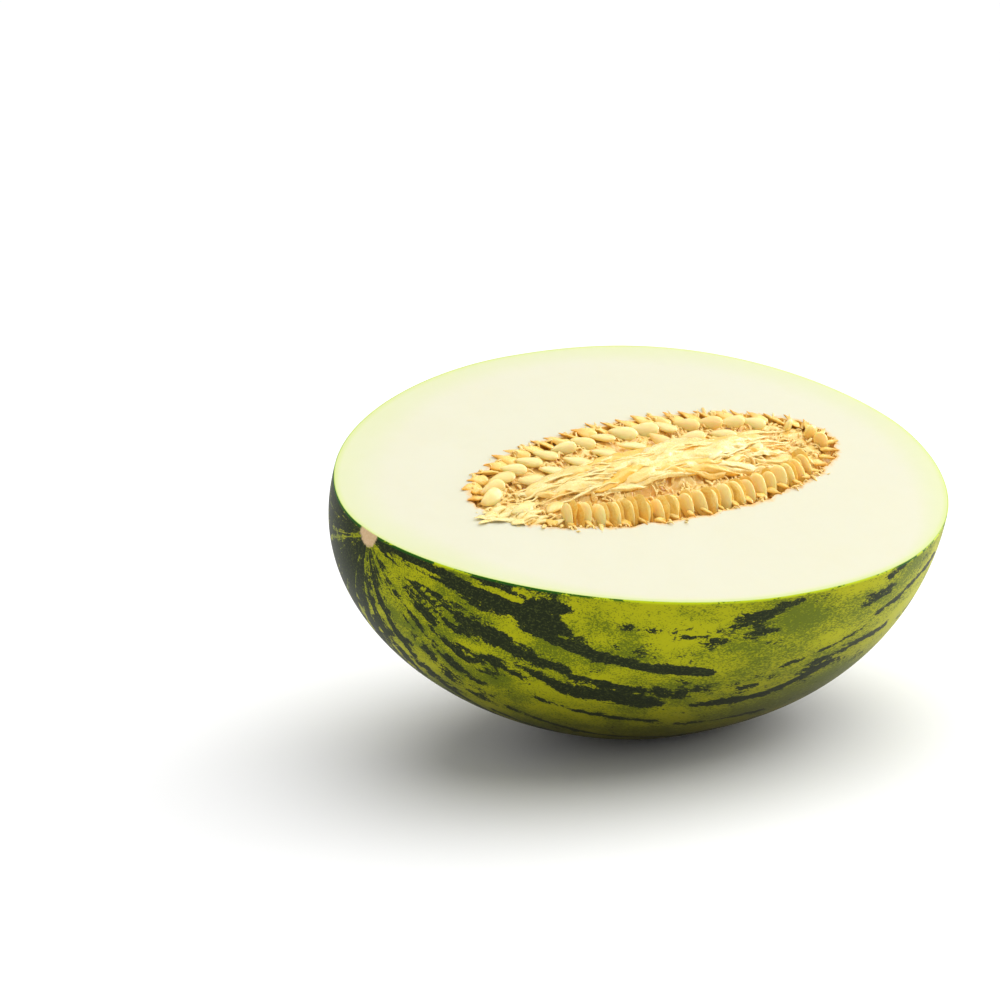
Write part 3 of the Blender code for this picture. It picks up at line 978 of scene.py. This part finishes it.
def membrane_mesh(angle):
    """One flake, which sticks out over the rim at an angle round the cavity."""
    far = min(1, max(0, 0.5 + 1.2 * math.sin(angle)))
    length = chooser.uniform(0.0050, 0.0072) + 0.0040 * far
    width = chooser.uniform(0.0018, 0.0034) + 0.0014 * far
    rings = drop_rings(length, width, 0.0014, 0.74, 0.0, rings=14)
    mesh = ring_mesh("membrane", rings[::-1])
    points = np.array([vertex.co for vertex in mesh.vertices])
    store(mesh, "deep_tone_and_shade", np.clip(points[:, 0] / length * 1.2 + chooser.uniform(0.1, 0.5), 0, 1))
    reach = chooser.uniform(-0.0004, 0.0010) + 0.0030 * far
    place, out = rim_place(angle, length / 2 * 0.8 - reach)
    heading = math.atan2(out.y, out.x) + math.radians(50 * far) + chooser.uniform(-0.2, 0.2)
    turn = Matrix.Rotation(heading, 4, "Z") @ Matrix.Rotation(-chooser.uniform(0.08, 0.22), 4, "Y")
    turn = turn @ Matrix.Rotation(chooser.uniform(-0.5, 0.5), 4, "X")
    mesh.transform(Matrix.Translation(place - Vector((0, 0, 0.0003))) @ turn)
    crumple(mesh, 500, 0.0004)
    return mesh


angles = even_angles(MEMBRANES, FIRST_MEMBRANE, FIRST_MEMBRANE + 2 * math.pi)
membranes = [membrane_mesh(angle) for angle in angles if not STRANDS_FROM < angle < STRANDS_TO]
add_piece("seed_membranes", join_meshes("seed_membranes", membranes), membrane_golden,
          cavity_matrix)
print(len(membranes), "flakes")

# %% [markdown]
# The seeds of the near row still stand in their pockets.  A pocket shows as a thin orange
# skin between one seed and the next, so each seed gets one on its far face, and one seed in
# four gets another on its near face.  The skin is the seed's own drop, pressed thin.

# %% Pockets of the near row
POCKET_THICKNESS = 0.0005
POCKET_OFF_SEED = 0.0016
NEAR_FACE_SHARE = 0.25


def pocket_mesh(seat, side):
    """One skin of the pocket that a seed of the near row stands in."""
    size = chooser.uniform(0.94, 1.07)
    rings = drop_rings(SEED_LENGTH * size, SEED_WIDTH * size, POCKET_THICKNESS, SEED_TAPER, rings=14)
    mesh = ring_mesh("pocket", rings[::-1])
    points = np.array([vertex.co for vertex in mesh.vertices])
    store(mesh, "deep_tone_and_shade", np.clip(0.30 + points[:, 0] * 60 + chooser.uniform(-0.4, 0.5), 0, 1))
    lean_out = Matrix.Rotation(side * chooser.uniform(0.00, 0.16), 4, "Y")
    ahead, aside = chooser.uniform(-0.0012, 0.0006), chooser.uniform(-0.0006, 0.0006)
    slip = Matrix.Translation((ahead, aside, side * POCKET_OFF_SEED))
    mesh.transform(seat @ slip @ lean_out @ Matrix.Rotation(chooser.uniform(-0.2, 0.2), 4, "X"))
    crumple(mesh, 420, 0.0005)
    return mesh


pockets = []
for name, seat in seed_seats.items():
    if name.startswith("seed_front"):
        far_face = 1 if seat.col[2].x > 0 else -1
        pockets.append(pocket_mesh(seat, far_face))
        if chooser.uniform() < NEAR_FACE_SHARE:
            pockets.append(pocket_mesh(seat, -far_face))
add_piece("seed_pockets", join_meshes("seed_pockets", pockets), membrane_golden)
print(len(pockets), "pocket skins")

# %% [markdown]
# ## Strands
#
# Down the middle runs the core that fed the seeds: pale yellow fibres, loosely twisted
# together, that reach past the cavity at the stem end.  Each strand is a tube that wanders
# about its own line, thick in the middle and thin at both ends.

# %% One strand


def strand_mesh(name, line, thickness, flatness, sides, lump, deep_tone_and_shade):
    """A tube along a line of points, thinner towards both ends."""
    line = np.asarray(line)
    side = np.linspace(0, 2 * math.pi, sides + 1)[:-1]
    rings = []
    for k, point in enumerate(line):
        ahead = line[min(k + 1, len(line) - 1)] - line[max(k - 1, 0)]
        ahead = ahead / np.linalg.norm(ahead)
        across = np.cross(ahead, (0, 0, 1.0))
        across = across / (np.linalg.norm(across) + 1e-9)
        up = np.cross(across, ahead)
        share = k / (len(line) - 1)
        radius = thickness / 2 * (0.10 + math.sin(math.pi * share) ** 0.55)
        sway = share * 2.0
        flat = np.outer(np.cos(side), across) + flatness * np.outer(np.sin(side), up)
        grooves = 1 + 0.12 * np.sin(side * 4 + sway * 3)[:, None]
        rings.append(point + radius * flat * grooves)
    mesh = ring_mesh(name, rings)
    crumple(mesh, 330, lump)
    store(mesh, "deep_tone_and_shade", np.full(len(mesh.vertices), deep_tone_and_shade))
    return mesh


def wandering_line(x, y, length, heading, steps, bend, lift):
    """A wavy line of points that lies on the pulp."""
    share = np.linspace(0, 1, steps)
    along = x + length * share * math.cos(heading)
    across = y + length * share * math.sin(heading)
    phase = chooser.uniform(0, 6.28, 3)
    across = across + bend * np.sin(share * chooser.uniform(3, 8) + phase[0])
    along = along + bend * 0.5 * np.sin(share * chooser.uniform(3, 8) + phase[1])
    up = bed_height(along, across) + lift
    up = np.maximum(up, np.where(rim_gap(along, across) < 0.001, 0.0002, -0.02))
    return np.column_stack([along, across, up + 0.0006 * np.sin(share * 7 + phase[2])])


print("strands ready")

# %% [markdown]
# The core is built up in three layers: broad flat folds at the bottom, fine round strands
# over them, and pale tails that fan out at the stem end and lie on the flesh.

# %% Core
FOLDS, FINE_STRANDS, TAILS = 64, 40, 26


def core_strands():
    """Every strand of the core in one mesh, from broad folds to fine tails."""
    strands = []
    for _ in range(FOLDS):
        length = chooser.uniform(0.020, 0.054)
        start = chooser.uniform(-0.068, 0.070 - length)
        spread = 0.0055 + 0.0045 * max(0, start + length / 2) / 0.07
        lane = chooser.uniform(-spread - 0.002, spread)
        width = chooser.uniform(0.0026, 0.0056)
        line = wandering_line(start, lane, length, chooser.normal(0, 0.10), 30, 0.0012, 0.0003)
        strands.append(strand_mesh("fold", line, width, 0.50, 18, 0.0008, chooser.uniform(0, 0.9)))
    for _ in range(FINE_STRANDS):
        length = chooser.uniform(0.012, 0.044)
        start = chooser.uniform(-0.070, 0.070 - length)
        lane = chooser.normal(-0.001, 0.0045)
        thickness = chooser.uniform(0.0006, 0.0015)
        line = wandering_line(start, lane, length, chooser.normal(0, 0.12), 26, 0.0010, 0.0014)
        strands.append(strand_mesh("strand", line, thickness, 0.6, 8, 0.0004, chooser.uniform(0, 0.5)))
    for _ in range(TAILS):
        start = chooser.uniform(-0.088, -0.072)
        lane = chooser.uniform(-0.0150, -0.0020) * (1 if start > -0.078 else 0.7)
        length = chooser.uniform(0.010, 0.024)
        line = wandering_line(start, lane, length, chooser.normal(-0.05, 0.12), 20, 0.0006, 0.0001)
        thickness = chooser.uniform(0.0016, 0.0040)
        strands.append(strand_mesh("tail", line, thickness, 0.25, 12, 0.0003, 0.0))
    return join_meshes("core_strands", strands)


strands = add_piece("core_strands", core_strands(), pulp_pale, cavity_matrix)
print("strands with", len(strands.data.vertices), "points")

# %% [markdown]
# Between the core and the seeds lies a felt of short threads, golden to orange, left where
# the flesh tore.  No one thread matters, so they are scattered by chance from a fixed seed.

# %% Fibres
FIBRES = 1500
FIBRE_RIM_GAP = 0.002


def loose_fibres():
    """Short threads over the whole bed, which lean outwards from its middle."""
    fibres = []
    while len(fibres) < FIBRES:
        x, y = chooser.uniform(-0.076, 0.076), chooser.uniform(-0.030, 0.030)
        outside = np.hypot(2 * x / CAVITY_LENGTH, 2 * y / CAVITY_WIDTH) > 1
        if outside or rim_gap(x, y) < FIBRE_RIM_GAP:
            continue
        length = chooser.uniform(0.0025, 0.0065)
        heading = math.atan2(y * 5, x) + chooser.normal(0, 0.7)
        line = wandering_line(x, y, length, heading, 8, 0.0003, chooser.uniform(-0.0004, 0.0006))
        thickness, deep_tone_and_shade = chooser.uniform(0.0005, 0.0017), chooser.uniform(0, 0.7)
        fibres.append(strand_mesh("fibre", line, thickness, 0.45, 6, 0.0002, deep_tone_and_shade))
    return join_meshes("pulp_fibres", fibres)


fibres = add_piece("pulp_fibres", loose_fibres(), pulp_golden, cavity_matrix)
print("fibres with", len(fibres.data.vertices), "points")

# %% [markdown]
# ## Table, light and camera
#
# The melon lies on a plain white table that runs out of view.

# %% Table
table_shader = Shader("table")
spot = table_shader.noise(table_shader.node("ShaderNodeTexCoord", output="Object"), 900.0, 2.0)
table_white = table_shader.finish(
    Base_Color=table_shader.mix(spot, (0.93, 0.93, 0.93), (0.95, 0.95, 0.95)), Roughness=0.6,
)
bpy.ops.mesh.primitive_plane_add(size=30, location=(0, 0, -0.0002))
table = bpy.context.object
table.name = "table"
table.data.materials.append(table_white)
print("table", round(table.dimensions.x), "m across")

# %% [markdown]
# The main light is very wide and stands almost overhead, a little to the right, so the
# shadow is short and soft.  White surroundings fill it.  Two low panels model the sides: the
# right one is the stronger, and brightens the rind below the face.

# %% Lights
surroundings = bpy.data.worlds.new("studio")
bpy.context.scene.world = surroundings
surroundings.use_nodes = True
surroundings.node_tree.nodes["Background"].inputs["Color"].default_value = (1, 1, 1, 1)
surroundings.node_tree.nodes["Background"].inputs["Strength"].default_value = 0.47


def aim(light, place, target=(0, 0, 0.05)):
    """Puts a light at a place and turns it to face the melon."""
    light.location = place
    light.rotation_euler = (Vector(target) - Vector(place)).to_track_quat("-Z", "Y").to_euler()
    bpy.context.scene.collection.objects.link(light)


ceiling = bpy.data.lights.new("ceiling", "SUN")
ceiling.angle = math.radians(80)
ceiling.energy = 2.2
aim(bpy.data.objects.new("ceiling", ceiling), (0.30, 0.02, 1.6))
for name, place, power in (("left_panel", (-0.95, 0.75, 0.45), 1.5),
                           ("right_panel", (1.20, -0.10, 0.45), 12.0)):
    panel = bpy.data.lights.new(name, "AREA")
    panel.shape = "SQUARE"
    panel.size = 1.0
    panel.energy = power
    aim(bpy.data.objects.new(name, panel), place)
bpy.context.scene.view_settings.view_transform = "Standard"
print("one wide light and two panels")

# %% [markdown]
# The camera stands to the front left and looks down a little, with a long lens that keeps
# the melon's proportions.  The melon sits right of the middle of the view.

# %% Camera
CAMERA_FROM_MELON = Vector((-0.5756, -0.7491, 0.2377))
LOOK_RIGHT = math.radians(34.55)
LOOK_DOWN = math.radians(14.51)
look = Vector((
    math.sin(LOOK_RIGHT) * math.cos(LOOK_DOWN),
    math.cos(LOOK_RIGHT) * math.cos(LOOK_DOWN),
    -math.sin(LOOK_DOWN),
))
lens = bpy.data.cameras.new("camera")
lens.lens, lens.sensor_width = 100, 36
camera = bpy.data.objects.new("camera", lens)
bpy.context.scene.collection.objects.link(camera)
camera.location = Vector((0, middle_y, middle_z)) + CAMERA_FROM_MELON
camera.rotation_euler = look.to_track_quat("-Z", "Y").to_euler()
bpy.context.scene.camera = camera
print("camera", round(CAMERA_FROM_MELON.length, 3), "m from the melon's middle")
